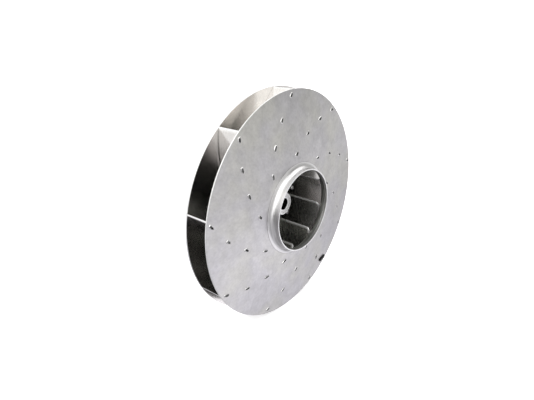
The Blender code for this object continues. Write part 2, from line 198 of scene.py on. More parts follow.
class FanWheelStage(bpy.types.PropertyGroup):
    """Camera and light round the wheel."""

    camera_place: FloatVectorProperty(name="Camera place", description="Place of the camera", unit="LENGTH",
                                      subtype="TRANSLATION", default=(-0.8353, -0.6600, 0.4488))
    camera_look: FloatVectorProperty(name="Camera look", description="Direction in which the camera looks",
                                     subtype="DIRECTION", default=(0.713234, 0.584669, -0.386599))
    camera_lens: FloatProperty(name="Lens", description="Focal length on a sensor 36 mm wide",
                               default=31.229, unit="CAMERA")
    room: FloatProperty(name="Room", description="Even brightness of the room", default=0.02, min=0.0)
    high_tint: tint("High tint", "Tint of the light from above", 1.0, 0.995, 0.975)
    low_tint: tint("Low tint", "Tint of the light from below", 1.0, 0.985, 1.03)
    soft_lights: FloatProperty(name="Soft lights", description="Share of the soft lights' full brightness",
                               default=1.0, min=0.0)


def beside(*columns):
    """Arrays side by side, along a new last axis."""
    return np.stack(np.broadcast_arrays(*columns), axis=-1)


def polar(radius, angle):
    """Coordinates x and y of points at a radius and an angle: radius * cos(angle), radius * sin(angle)."""
    return radius * np.cos(angle), radius * np.sin(angle)


def circle(steps):
    """Angles in equal steps round a full turn."""
    return np.arange(steps) * TURN / steps


def to_scene(x, y, z):
    """Wheel coordinates to the scene's, for whole arrays: the shaft axis z turns to -Y, and y turns up."""
    return beside(x, -np.asarray(z), y)


def grid_faces(rows, columns, rows_meet=False, columns_meet=False, start=0):
    """Quads of a grid of points stored row by row. Where rows or columns meet, the last joins the first."""
    row = np.arange(rows if rows_meet else rows - 1)[:, None]
    column = np.arange(columns if columns_meet else columns - 1)[None, :]
    next_row, next_column = (row + 1) % rows, (column + 1) % columns
    corners = beside(row * columns + column, next_row * columns + column,
                     next_row * columns + next_column, row * columns + next_column)
    return corners.reshape(-1, 4) + start


def fan_faces(ring, pole):
    """Triangles that join a closed ring of points to one point."""
    return beside(ring, np.roll(ring, -1), pole)


def capped_faces(rows, columns):
    """Faces of closed rings of points with a pole at either end, stored after the rings."""
    count = rows * columns
    return [grid_faces(rows, columns, columns_meet=True)[:, ::-1], fan_faces(np.arange(columns), count),
            fan_faces(np.arange(count - columns, count), count + 1)[:, ::-1]]


def signed_volume(points, faces):
    """Sum over the faces, cut into triangles at their first corner, of a x (b . c) / 6."""
    corners = points[faces]
    total = 0.0
    for i in range(1, faces.shape[1] - 1):
        total += np.einsum("ij,ij->i", corners[:, 0], np.cross(corners[:, i], corners[:, i + 1])).sum() / 6
    return total


def add_object(name, points, blocks, material):
    """An object in the scene from points and blocks of faces."""
    mesh = bpy.data.meshes.new(name)
    mesh.from_pydata(points.tolist(), [], [face for block in blocks for face in block.tolist()])
    if mesh.validate():
        raise RuntimeError("the surface of %s has faces that aren't sound" % name)
    mesh.shade_smooth()
    mesh.set_sharp_from_angle(angle=SHARP_TURN)
    mesh.materials.append(material)
    made = bpy.data.objects.new(name, mesh)
    bpy.context.scene.collection.objects.link(made)
    return made


def add_piece(name, surface, material, stands_for=()):
    """A piece from a surface, which is points in the scene's frame and blocks of faces, turned outwards."""
    points, blocks = surface
    if sum(signed_volume(points, block) for block in blocks) < 0:
        blocks = [block[:, ::-1] for block in blocks]
    piece = add_object(name, points, blocks, material)
    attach(piece, "root")
    if stands_for:
        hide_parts(*stands_for)
    return piece


def store(piece, name, values):
    """One number for each point of the piece, for its material to read."""
    attribute = piece.data.attributes.new(name, "FLOAT", "POINT")
    attribute.data.foreach_set("value", np.asarray(values, np.float32).ravel())


def rounded_outline(corners, radii, steps=5, hold=0.0006):
    """Closed outline with each corner cut by an arc.

    The arc touches both sides at radius * tan(turn / 2) from the corner and swings about a centre on the
    corner's bisector. A point just past each end of the arc keeps the shading of the flats level.
    """
    corners = np.asarray(corners, float)
    radii = np.broadcast_to(np.asarray(radii, float), (len(corners),))[:, None]
    back = np.roll(corners, 1, axis=0) - corners
    ahead = np.roll(corners, -1, axis=0) - corners
    back_length = np.linalg.norm(back, axis=1, keepdims=True)
    ahead_length = np.linalg.norm(ahead, axis=1, keepdims=True)
    back, ahead = back / back_length, ahead / ahead_length
    half = np.arccos(np.clip((back * ahead).sum(1, keepdims=True), -1, 1)) / 2
    reach = radii / np.tan(half)
    middle = back + ahead
    centre = corners + middle / np.linalg.norm(middle, axis=1, keepdims=True) * radii / np.sin(half)
    first, last = corners + back * reach - centre, corners + ahead * reach - centre
    swing = math.pi - 2 * half
    share = np.linspace(0, 1, steps + 1)[None, :, None]
    swing = np.maximum(swing, 1e-6)[:, :, None]
    arc = first[:, None] * np.sin((1 - share) * swing) + last[:, None] * np.sin(share * swing)
    arc = arc / np.sin(swing) + centre[:, None]
    spare_back = np.minimum(hold, (back_length - reach) / 3)
    spare_ahead = np.minimum(hold, (ahead_length - reach) / 3)
    before = (corners + back * (reach + spare_back))[:, None]
    after = (corners + ahead * (reach + spare_ahead))[:, None]
    return np.concatenate([before, arc, after], axis=1).reshape(-1, 2)


def turned_surface(radius, height, angle):
    """Closed surface of a closed profile turned about the shaft.

    Point (i, j) lies at radius i and height i of the profile, turned by angle j; both may also vary with j.
    """
    radius, height, angle = np.broadcast_arrays(radius, height, angle[None, :])
    points = to_scene(*polar(radius, angle), height).reshape(-1, 3)
    return points, [grid_faces(*radius.shape, rows_meet=True, columns_meet=True)]


def turned_profile(outline, steps):
    """The turned surface of an outline of (radius, height) points, in equal steps."""
    return turned_surface(outline[:, :1], outline[:, 1:], circle(steps))


def flat_ring(outer, inner, front, rear, radii, steps):
    """The turned surface of a flat ring with rounded corners."""
    corners = [(outer, front), (outer, rear), (inner, rear), (inner, front)]
    return turned_profile(rounded_outline(corners, radii), steps)


def bead_ring(radius, height, size, ripples, steps):
    """A weld bead round the shaft: a circle of the given size carried round it.

    The size swells by about a twelfth at each ripple, |sin(angle * ripples / 2)|, and slowly three times a
    turn. The ripples lag at the sides of the bead, so that they lie as crescents.
    """
    sides = 14
    angle = circle(steps)
    around = circle(sides)[:, None]
    ripple = np.abs(np.sin(0.5 * ripples * angle[None, :] + 0.9 * np.cos(around)))
    swell = size * (0.95 + 0.08 * ripple + 0.03 * np.sin(3 * angle[None, :] + 1.0))
    return turned_surface(radius + swell * np.cos(around), height + swell * np.sin(around), angle)


def slab_surface(grid, place, thickness, edge, steps=3):
    """Closed sheet with rounded edges.

    grid(inset) gives the in-plane coordinates of the sheet's face, drawn in from its outline by inset, and
    place(a, b, offset) puts them in the wheel's frame at an offset across the sheet. The two faces are
    drawn in by the edge radius, and rings of points on a quarter circle join each to the sheet's rim.
    """
    bend = np.linspace(0, math.pi / 2, steps + 1)
    insets = edge * (1 - np.sin(bend))
    offsets = thickness / 2 - edge * (1 - np.cos(bend))
    insets = np.concatenate([insets, insets[::-1]])
    offsets = np.concatenate([offsets, -offsets[::-1]])
    a, b = grid(edge)
    rows, columns = a.shape
    number = np.arange(rows * columns).reshape(rows, columns)
    border = np.concatenate([number[0, :-1], number[:-1, -1], number[-1, :0:-1], number[:0:-1, 0]])
    blocks_of_points = [to_scene(*place(a, b, thickness / 2)).reshape(-1, 3)]
    for inset, offset in zip(insets[1:-1], offsets[1:-1]):
        ring_a, ring_b = grid(inset)
        blocks_of_points.append(to_scene(*place(ring_a.ravel()[border], ring_b.ravel()[border], offset)))
    blocks_of_points.append(to_scene(*place(a, b, -thickness / 2)).reshape(-1, 3))
    size, rim = rows * columns, len(border)
    last = size + (len(insets) - 2) * rim
    rings = [border] + [size + i * rim + np.arange(rim) for i in range(len(insets) - 2)] + [last + border]
    faces = [grid_faces(rows, columns)[:, ::-1], grid_faces(rows, columns, start=last)]
    for ring, after in zip(rings[:-1], rings[1:]):
        faces.append(beside(ring, after, np.roll(after, -1), np.roll(ring, -1)))
    if (faces[2][0, 0], faces[2][0, 3]) == (faces[0][0, 0], faces[0][0, 1]):
        faces[2:] = [face[:, ::-1] for face in faces[2:]]
    return np.concatenate(blocks_of_points), faces


def shroud_inner(sizes, radius):
    """Height of the shroud's inner face, a cone that rises evenly from the rim towards the eye."""
    return sizes.rim_height + sizes.shroud_fall * (sizes.wheel_radius - radius)


def shroud_outer(sizes, radius):
    """Height of the shroud's outer face, one sheet thickness out from the inner face."""
    return shroud_inner(sizes, radius) + sizes.sheet * math.hypot(1, sizes.shroud_fall)


def bend_arc(sizes, radius, share):
    """Points of an arc about the ring's bend, from the throat (share 0) to the shroud's slope (share 1).

    The bend's centre stands over the shroud so that the ring's outer face runs smoothly into the shroud's.
    """
    fall = math.atan(sizes.shroud_fall)
    centre = sizes.eye_radius + sizes.bend_radius
    height = shroud_outer(sizes, centre) + (sizes.bend_radius - sizes.sheet) / math.cos(fall)
    angle = share * (math.pi / 2 - fall)
    return beside(centre - radius * np.cos(angle), height - radius * np.sin(angle))


def outer_seam(sizes):
    """Radius at which the outer faces of the ring and the shroud meet."""
    return bend_arc(sizes, sizes.bend_radius - sizes.sheet, 1.0)[0]


def blade_angle(sizes, radius):
    """Polar angle of the blade's middle line: tip angle + ln(tip radius / radius) / tan(slope)."""
    return sizes.blade_tip_angle + np.log(sizes.wheel_radius / radius) / math.tan(sizes.blade_slope)


def tab_places(sizes):
    """Radius, polar angle and heading of every tab, blade by blade."""
    radius = sizes.tab_radius - sizes.tab_pitch * np.arange(sizes.tab_count)
    angle = blade_angle(sizes, radius)[None, :] + circle(sizes.blade_count)[:, None]
    radius = np.broadcast_to(radius, angle.shape)
    heading = angle + math.pi / 2 + sizes.blade_slope
    return radius.ravel(), angle.ravel(), heading.ravel()


class Nodes:
    """Short forms for building a node tree. Values are numbers, colours or other nodes' outputs."""

    def __init__(self, tree):
        self.nodes, self.links = tree.nodes, tree.links

    def feed(self, socket, value):
        if isinstance(value, bpy.types.NodeSocket):
            self.links.new(value, socket)
        else:
            socket.default_value = value

    def node(self, kind, *values, **inputs):
        """A shader node of the kind, with inputs given in their order or by name."""
        made = self.nodes.new("ShaderNode" + kind)
        for socket, value in zip(made.inputs, values):
            self.feed(socket, value)
        for name, value in inputs.items():
            self.feed(made.inputs[name.replace("_", " ")], value)
        return made

    def math(self, operation, first, second=0.0):
        made = self.node("Math", first, second)
        made.operation = operation
        return made.outputs[0]

    def add(self, first, second):
        return self.math("ADD", first, second)

    def times(self, first, second):
        return self.math("MULTIPLY", first, second)

    def vector_math(self, operation, vector, second):
        """The operation's node. It takes a vector and a second one, or for SCALE a number."""
        made = self.node("VectorMath", vector)
        made.operation = operation
        self.feed(made.inputs["Scale" if operation == "SCALE" else 1], second)
        return made

    def spread(self, value, low, high, new_low=0.0, new_high=1.0, interpolation="LINEAR"):
        """The value taken from one range to another, and held inside it."""
        made = self.node("MapRange", value, low, high, new_low, new_high)
        made.interpolation_type = interpolation
        return made.outputs["Result"]

    def blend(self, share, first, second):
        """Two colours mixed by a share."""
        made = self.node("Mix")
        made.data_type = "RGBA"
        self.feed(made.inputs["Factor"], share)
        for socket, colour in (made.inputs[6], first), (made.inputs[7], second):
            self.feed(socket, colour if isinstance(colour, bpy.types.NodeSocket) else (*colour, 1.0))
        return made.outputs[2]


class Finish(Nodes):
    """A metal or paint finish built up node by node on one Principled shader."""

    def __init__(self, name, colour, roughness, metallic=1.0):
        self.material = bpy.data.materials.new(name)
        self.material.use_nodes = True
        super().__init__(self.material.node_tree)
        self.shader = self.nodes["Principled BSDF"]
        self.feed(self.shader.inputs["Base Color"], (*colour, 1.0))
        self.feed(self.shader.inputs["Roughness"], roughness)
        self.feed(self.shader.inputs["Metallic"], metallic)
        self.place = self.node("TexCoord").outputs["Object"]

    def noise(self, scale, detail=2.0, vector=None, roughness=0.5):
        made = self.node("TexNoise", Vector=self.place if vector is None else vector, Scale=scale,
                         Detail=detail, Roughness=roughness)
        return made.outputs["Fac"]

    def pattern(self, noise, low, high):
        """A noise taken from its usual range to another."""
        return self.spread(noise, *NOISE_RANGE, low, high)

    def layers(self, *layers):
        """Sum of patterns, each given as noise, low and high."""
        total, *others = [self.pattern(*layer) for layer in layers]
        for other in others:
            total = self.add(total, other)
        return total

    def shade(self, colour, value):
        """A colour made lighter or darker by a number near 1."""
        return self.vector_math("SCALE", colour, value).outputs[0]

    def axis_distance(self):
        """Distance from the shaft axis, and distance along it."""
        parts = self.node("SeparateXYZ", self.place).outputs
        squares = self.add(self.times(parts["X"], parts["X"]), self.times(parts["Z"], parts["Z"]))
        return self.math("SQRT", squares), parts["Y"]

    def ring_noise(self, scale, detail=2.0, roughness=0.5):
        """Noise read from the two distances alone, so that it lies in rings about the shaft."""
        across, along = self.axis_distance()
        place = self.node("CombineXYZ", across, along).outputs["Vector"]
        return self.noise(scale, detail, place, roughness)

    def piece_value(self, name):
        """The number that the piece stores for each of its points under this name."""
        made = self.node("Attribute")
        made.attribute_name = name
        return made.outputs["Fac"]

    def bump(self, height, distance, strength=1.0, under=None):
        made = self.node("Bump", Height=height, Distance=distance, Strength=strength)
        if under is not None:
            self.links.new(under, made.inputs["Normal"])
        return made.outputs["Normal"]

    def set(self, colour=None, roughness=None, normal=None):
        for name, value in ("Base Color", colour), ("Roughness", roughness), ("Normal", normal):
            if value is not None:
                self.links.new(value, self.shader.inputs[name])
        return self.material


def once(make, name, *values):
    """The material of that name, made at its first use."""
    return bpy.data.materials.get(name) or make(name, *values)


def sheet_finish(name, colours, sizes, front_is_inside, inside_height):
    """Satin sheet: cloudy tone, fine mottled grain, an inside face darkened round the hub by painted shade,
    and a bright cut rim that is partly painted highlight.

    The back plate's inside face lies in front of inside_height, and the shroud's lies behind it and follows
    the cone. Painted shade darkens the shroud along its seam with the inlet ring.
    """
    finish = Finish(name, colours.sheet, 0.36)
    mottle = finish.noise(170.0, 3.0, roughness=0.7)
    grain = finish.noise(1100.0)
    tone = finish.layers((finish.noise(9.0, 3.0), 0.95, 1.02), (finish.noise(42.0, 3.0), -0.08, 0.08),
                         (mottle, -0.08, 0.08), (grain, -0.03, 0.03))
    across, along = finish.axis_distance()
    if front_is_inside:
        inside = finish.math("LESS_THAN", along, inside_height)
    else:
        rise = finish.times(finish.math("SUBTRACT", sizes.wheel_radius, across), sizes.shroud_fall)
        inside = finish.math("GREATER_THAN", finish.add(along, rise), inside_height)
        from_seam = finish.math("SUBTRACT", across, outer_seam(sizes))
        # Painted shade in the crease along the seam with the inlet ring
        tone = finish.times(tone, finish.spread(from_seam, *SEAM_SHADE, 0.82, 1.0))
    even = finish.times(inside, 0.6)
    tone = finish.add(finish.times(tone, finish.math("SUBTRACT", 1.0, even)), even)
    tarnished = finish.spread(finish.noise(11.0, 3.0), 0.42, 0.62)
    # Painted shade: the inner faces darken from the rim towards the hub
    inner = finish.blend(finish.spread(across, *SHADE_AND_DULL_RANGE), colours.shaded_inside, colours.inside)
    colour = finish.blend(inside, finish.blend(tarnished, colours.sheet, colours.tarnish), inner)
    # Painted highlight on bare cut metal: the plate's outer rim is lightened
    rim = finish.spread(across, sizes.wheel_radius - 0.0006, sizes.wheel_radius - 0.0002)
    colour = finish.shade(finish.blend(rim, colour, colours.trimmed_and_highlit), tone)
    rough = finish.layers((mottle, 0.29, 0.34), (grain, -0.02, 0.02))
    rough = finish.math("SUBTRACT", rough, finish.times(inside, 0.13))
    rough = finish.add(rough, finish.times(rim, 0.22))
    waves = finish.bump(finish.noise(16.0, 1.0), 0.0006, 0.35)
    return finish.set(colour, rough, finish.bump(grain, 0.00003, 0.5, waves))


def spun_grain(finish, groove_scale, roughness):
    """Tone, roughness and bump of metal worked while it turned: fine rings about the shaft."""
    groove = finish.ring_noise(groove_scale, 3.0, 0.6)
    broad = finish.ring_noise(groove_scale / 9)
    haze = finish.noise(30.0, 3.0)
    tone = finish.layers((groove, 0.95, 1.05), (broad, -0.04, 0.04))
    rough = finish.layers((groove, roughness - 0.04, roughness + 0.04), (haze, -0.03, 0.03))
    return tone, rough, finish.bump(groove, 0.00004, 0.5)


def ring_finish(name, colours, sizes):
    """Spun sheet in lighter and darker bands, with a bright lip that is part polish and part painted
    highlight, and painted shade in the seam at its foot.

    The face that looks into the wheel is darkened with painted shade where the piece's own value says so,
    and is lighter along the rolled bead as a painted highlight.
    """
    finish = Finish(name, colours.spun, 0.27)
    tone, rough, normal = spun_grain(finish, 700.0, 0.37)
    across, along = finish.axis_distance()
    # Painted highlight on polished metal: the band at the lip is lightened
    lip = finish.spread(along, -sizes.lip_height + 0.0028, -sizes.lip_height + 0.0016)
    tone = finish.add(tone, finish.spread(finish.ring_noise(330.0, 1.0), 0.35, 0.65, -0.13, 0.09))
    from_seam = finish.math("SUBTRACT", outer_seam(sizes), across)
    # Painted shade in the crease along the seam with the shroud
    tone = finish.times(tone, finish.spread(from_seam, *SEAM_SHADE, 0.78, 1.0))
    # Painted shade: the inner face takes the darker throat colour
    colour = finish.blend(finish.piece_value("throat_shade"), colours.spun, colours.throat)
    return finish.set(finish.shade(finish.blend(lip, colour, colours.trimmed_and_highlit), tone), rough, normal)


def turned_finish(name, colours, sizes):
    """Machined steel with fine tool marks, a duller band on the hub's face and a bore painted near black as
    shade, with its reflections dimmed.
    """
    finish = Finish(name, colours.turned, 0.28)
    tone, rough, normal = spun_grain(finish, 1500.0, 0.28)
    across = finish.axis_distance()[0]
    mouth = sizes.bore_radius + sizes.bore_chamfer
    bore = finish.spread(across, mouth - 0.0003, mouth - 0.0008)
    band = finish.times(finish.spread(across, mouth + 0.0012, mouth + 0.0024),
                        finish.spread(across, sizes.hub_radius - 0.0040, sizes.hub_radius - 0.0052))
    tone = finish.times(tone, finish.spread(band, 0.0, 1.0, 1.0, 0.66))
    rough = finish.add(rough, finish.spread(band, 0.0, 1.0, 0.08, 0.0))
    # Painted shade: the bore is painted near black and its reflections are dimmed
    finish.feed(finish.shader.inputs["Specular Tint"], finish.blend(bore, (1.0, 1.0, 1.0), colours.bore))
    return finish.set(finish.shade(finish.blend(bore, colours.turned, colours.bore), tone), rough, normal)


def blade_finish(name, colours):
    """Rolled sheet, rougher towards the eye and darkened there with painted shade, with a bright cut edge
    that is partly painted highlight.

    The grain is noise read from the piece's own map, drawn out along the blade.
    """
    finish = Finish(name, colours.blade, 0.26)
    sheet_map = finish.node("UVMap").outputs["UV"]
    drawn = finish.vector_math("MULTIPLY", sheet_map, (60.0, 900.0, 1.0)).outputs[0]
    streak = finish.noise(1.0, vector=drawn)
    cloud = finish.noise(26.0, 3.0)
    tone = finish.layers((streak, 0.94, 1.06), (cloud, -0.07, 0.05))
    cut = finish.piece_value("cut_edge")
    across = finish.axis_distance()[0]
    # Painted shade: the blade sheet darkens from the rim towards the eye
    sheet = finish.blend(finish.spread(across, *SHADE_AND_DULL_RANGE), colours.blade_root, colours.blade)
    # Painted highlight on bare cut metal: the blades' cut edges are lightened
    colour = finish.shade(finish.blend(cut, sheet, colours.trimmed_and_highlit), tone)
    rough = finish.layers((streak, 0.15, 0.20), (cloud, -0.02, 0.02))
    rough = finish.add(rough, finish.spread(across, *SHADE_AND_DULL_RANGE, 0.10, 0.0))
    rough = finish.add(rough, finish.times(cut, finish.spread(across, *SHADE_AND_DULL_RANGE, 0.34, 0.10)))
    return finish.set(colour, rough, finish.bump(streak, 0.00003, 0.4))


def weld_finish(name, colours):
    """Weld metal: bright, lightly blotched, and near black where the piece says it is hollow: dark oxide
    with painted shade of the crater.
    """
    finish = Finish(name, colours.weld, 0.24)
    drift = finish.noise(240.0)
    fleck = finish.noise(1500.0)
    tinted = finish.blend(finish.spread(drift, 0.50, 0.72), colours.weld, colours.heat_tint)
    # Painted shade with dark oxide in the craters
    colour = finish.blend(finish.piece_value("hollow"), tinted, colours.crater_oxide_and_shade)
    colour = finish.shade(colour, finish.pattern(fleck, 0.85, 1.1))
    return finish.set(colour, finish.pattern(fleck, 0.14, 0.24), finish.bump(fleck, 0.00006, 0.6))


def plain_steel_finish(name, colour, roughness):
    """Small steel piece: pitted, slightly blotched and worn bright in places."""
    finish = Finish(name, colour, roughness)
    blotch = finish.noise(260.0, 3.0)
    pit = finish.noise(1800.0)
    rough = finish.pattern(blotch, roughness - 0.08, roughness + 0.08)
    return finish.set(finish.shade(colour, finish.pattern(blotch, 0.82, 1.15)), rough,
                      finish.bump(pit, 0.00008, 0.6))


class PieceOperator:
    """What the operators of this add-on share."""

    bl_options = {"REGISTER", "UNDO"}

    def execute(self, context):
        scene = context.scene
        self.build(scene.fan_wheel_sizes, scene.fan_wheel_colours)
        return {"FINISHED"}


class FANWHEEL_OT_back_plate(PieceOperator, bpy.types.Operator):
    """Add the flat rear sheet with its trimmed rim and the hole that the hub fills"""

    bl_idname = "fan_wheel.back_plate"
    bl_label = "Back Plate"

    def build(self, sizes, colours):
        surface = flat_ring(sizes.wheel_radius, sizes.hub_radius, sizes.plate_front, sizes.plate_rear,
                            sizes.edge, PLATE_STEPS)
        middle = -(sizes.plate_front + sizes.plate_rear) / 2
        material = once(sheet_finish, "back_sheet", colours, sizes, True, middle)
        add_piece("back_plate_skin", surface, material, ["back_plate"])


class FANWHEEL_OT_front_shroud(PieceOperator, bpy.types.Operator):
    """Add the conical front sheet, from its trimmed rim to the seam with the inlet ring"""

    bl_idname = "fan_wheel.front_shroud"
    bl_label = "Front Shroud"

    def build(self, sizes, colours):
        inner_seam = bend_arc(sizes, sizes.bend_radius, 1.0)[0]
        seam_edge = 0.0006
        radii = np.array([outer_seam(sizes), sizes.wheel_radius, sizes.wheel_radius, inner_seam])
        heights = np.concatenate([shroud_outer(sizes, radii[:2]), shroud_inner(sizes, radii[2:])])
        outline = rounded_outline(beside(radii, heights), [seam_edge, sizes.edge, sizes.edge, seam_edge])
        middle = -(sizes.rim_height + sizes.sheet / 2)
        material = once(sheet_finish, "front_sheet", colours, sizes, False, middle)
        add_piece("front_shroud_skin", turned_profile(outline, PLATE_STEPS), material,
                  ["front_shroud"])


class FANWHEEL_OT_inlet_ring(PieceOperator, bpy.types.Operator):
    """Add the spun ring that bends out of the shroud and ends in a rounded lip"""

    bl_idname = "fan_wheel.inlet_ring"
    bl_label = "Inlet Ring"

    def build(self, sizes, colours):
        """The profile of the ring, turned about the shaft.

        Fine waves from the spinning run over its outer face: depth * sin(distance / pitch), faded out at
        both ends. The lip is a half oval, and a rolled bead of exp(-distance^2) runs inside, below the lip.
        """
        pitch, depth = 0.0026, 0.00005
        outer_bend = sizes.bend_radius - sizes.sheet
        start = bend_arc(sizes, outer_bend, 0.0)
        share = np.linspace(0, 1, 61)
        distance = share * outer_bend * math.pi / 2
        wave = depth * np.sin(distance / pitch * TURN) * np.sin(share * math.pi) ** 0.5
        outside = bend_arc(sizes, outer_bend + wave, share)
        inside = bend_arc(sizes, sizes.bend_radius, share[::3])[::-1]
        half, cap = sizes.sheet / 2, 0.0007
        nose = np.linspace(0, math.pi, 25)
        lip = beside(sizes.eye_radius + half - half * np.cos(nose),
                     sizes.lip_height - cap + cap * np.sin(nose) ** 0.5)
        wall = np.linspace(start[1], sizes.lip_height - cap, 15)[1:-1]
        fade = np.sin(np.linspace(0, math.pi, len(wall))) ** 0.5
        outer_wall = beside(start[0] + depth * fade * np.sin((wall - start[1]) / pitch * TURN), wall)
        low_wall = np.linspace(start[1], sizes.lip_height - cap, 31)[1:-1]
        bead, bead_place, bead_width = 0.0003, 0.0018, 0.0007
        rolled = bead * np.exp(-((low_wall - start[1] - bead_place) / bead_width) ** 2)
        inner_wall = beside(sizes.eye_radius - rolled, low_wall)
        outline = np.concatenate([lip, outer_wall[::-1], outside, inside, inner_wall])
        material = once(ring_finish, "ring_metal", colours, sizes)
        piece = add_piece("inlet_ring_skin", turned_profile(outline, PLATE_STEPS), material,
                          ["inlet_ring"])
        # Painted shade on the inner face, lifted along the rolled bead as a painted highlight
        throat_shade = np.zeros(len(outline))
        throat_shade[-len(inside) - len(inner_wall):] = 0.7
        throat_shade[-len(inner_wall):] = 1 - rolled / bead
        store(piece, "throat_shade", np.repeat(throat_shade, PLATE_STEPS))


class FANWHEEL_OT_blades(PieceOperator, bpy.types.Operator):
    """Add the backward curved blades, each a sheet with a rounded inner front corner"""

    bl_idname = "fan_wheel.blades"
    bl_label = "Blades"

    def build(self, sizes, colours):
        material = once(blade_finish, "blade_metal", colours)
        for i, turn in enumerate(circle(sizes.blade_count)):
            self.add_blade(sizes, material, i + 1, turn)

    def add_blade(self, sizes, material, number, turn):
        tip_gap = 0.0004
        tip, root, corner = sizes.wheel_radius - tip_gap, sizes.blade_root, sizes.blade_corner

        def grid(inset):
            """Radius falls evenly from the tip to the corner and then as a cosine, to follow the arc."""
            straight = np.linspace(tip - inset, root + corner, 40)
            bend = np.linspace(0, math.pi / 2, 13)[1:]
            radius = np.concatenate([straight, root + corner - (corner - inset) * np.sin(bend)])[:, None]
            height = np.linspace(0, 1, 13)[None, :]
            drop = corner - np.sqrt(np.maximum((corner - inset) ** 2 - (root + corner - radius) ** 2, 0.0))
            front = shroud_inner(sizes, np.maximum(radius, root + corner))
            front = front - np.where(radius < root + corner, drop, inset)
            rear = sizes.plate_front + inset
            return np.broadcast_arrays(radius, rear + height * (front - rear))

        def place(radius, height, offset):
            """On the spiral, moved round the shaft by as much as crosses the sheet by the offset."""
            angle = blade_angle(sizes, radius) + turn
            angle = angle + offset / (radius * math.sin(sizes.blade_slope))
            return (*polar(radius, angle), height)

        surface = slab_surface(grid, place, sizes.blade_sheet, sizes.edge * 0.8)
        name = "blade_%d" % number
        piece = add_piece(name + "_sheet", surface, material, [name])
        self.add_cut_edge(sizes, piece, surface[0])
        self.add_map(sizes, piece, surface[0])

    def add_cut_edge(self, sizes, piece, points):
        """A value of 1 at the tip, at the root and round the corner, which fades out from the root."""
        band, fade_end, tip_band = 0.0007, 0.0030, 0.001
        radius = np.hypot(points[:, 0], points[:, 2])
        bend_start = sizes.blade_root + sizes.blade_corner
        over = -points[:, 1] - shroud_inner(sizes, bend_start) + sizes.blade_corner
        to_centre = np.hypot(bend_start - radius, over)
        corner = (radius < bend_start) & (over > 0) & (to_centre > sizes.blade_corner - band)
        root = np.interp(radius - sizes.blade_root, [band, fade_end], [1.0, 0.0])
        store(piece, "cut_edge", np.maximum(root, corner | (radius > sizes.wheel_radius - tip_band)))

    def add_map(self, sizes, piece, points):
        """Length along the spiral, radius / sin(slope), and height."""
        corners = np.zeros(len(piece.data.loops), np.int32)
        piece.data.loops.foreach_get("vertex_index", corners)
        along = np.hypot(points[:, 0], points[:, 2]) / math.sin(sizes.blade_slope)
        places = beside(along, points[:, 1])[corners].astype(np.float32)
        piece.data.uv_layers.new(name="along_blade").data.foreach_set("uv", places.ravel())


class FANWHEEL_OT_hub(PieceOperator, bpy.types.Operator):
    """Add the turned hub with its chamfers, shaft bore and keyway"""

    bl_idname = "fan_wheel.hub"
    bl_label = "Hub"

    def build(self, sizes, colours):
        """A profile turned about the shaft, whose bore points stand further out at the keyway.

        There the reach is the nearer of the key's floor, depth / -cos(angle), and its side, half its width
        / sin(angle), but never less than the bore's radius.
        """
        half, depth = sizes.key_width / 2, sizes.bore_radius + sizes.key_depth
        mouth = math.pi - math.asin(half / sizes.bore_radius)
        floor = math.pi - math.atan2(half, depth)
        angle = np.concatenate([np.linspace(-mouth, mouth, 121), np.linspace(mouth, floor, 4)[1:],
                                np.linspace(floor, TURN - floor, 9)[1:],
                                np.linspace(TURN - floor, TURN - mouth, 4)[1:-1]])
        to_floor = depth / np.maximum(-np.cos(angle), 1e-3)
        to_side = half / np.maximum(np.abs(np.sin(angle)), 1e-3)
        keyed = np.minimum(to_floor, to_side)
        bore = np.where(np.cos(angle) < 0, np.maximum(keyed, sizes.bore_radius), sizes.bore_radius)
        radius, front, rear = sizes.hub_radius, sizes.hub_front, sizes.hub_rear
        chamfer, inner = sizes.hub_chamfer, sizes.bore_chamfer
        corners = [(radius - chamfer, front), (radius, front - chamfer), (radius, rear + chamfer),
                   (radius - chamfer, rear), (inner, rear), (0.0, rear + inner), (0.0, front - inner),
                   (inner, front)]
        outline = rounded_outline(corners, 0.00025, steps=2, hold=0.0003)
        in_bore = outline[:, :1] < (radius + inner) / 2
        reach = outline[:, :1] + np.where(in_bore, bore[None, :], 0.0)
        material = once(turned_finish, "turned_metal", colours, sizes)
        surface = turned_surface(reach, outline[:, 1:], angle)
        add_piece("hub_turned", surface, material, ["hub"])


class FANWHEEL_OT_hub_disc(PieceOperator, bpy.types.Operator):
    """Add the stiffening disc behind the back plate"""

    bl_idname = "fan_wheel.hub_disc"
    bl_label = "Hub Disc"

    def build(self, sizes, colours):
        surface = flat_ring(sizes.disc_radius, sizes.hub_radius, sizes.plate_rear, sizes.disc_rear,
                            [0.0002, 0.0008, 0.0003, 0.0002], 240)
        material = once(turned_finish, "turned_metal", colours, sizes)
        add_piece("hub_disc_turned", surface, material, ["hub_disc"])


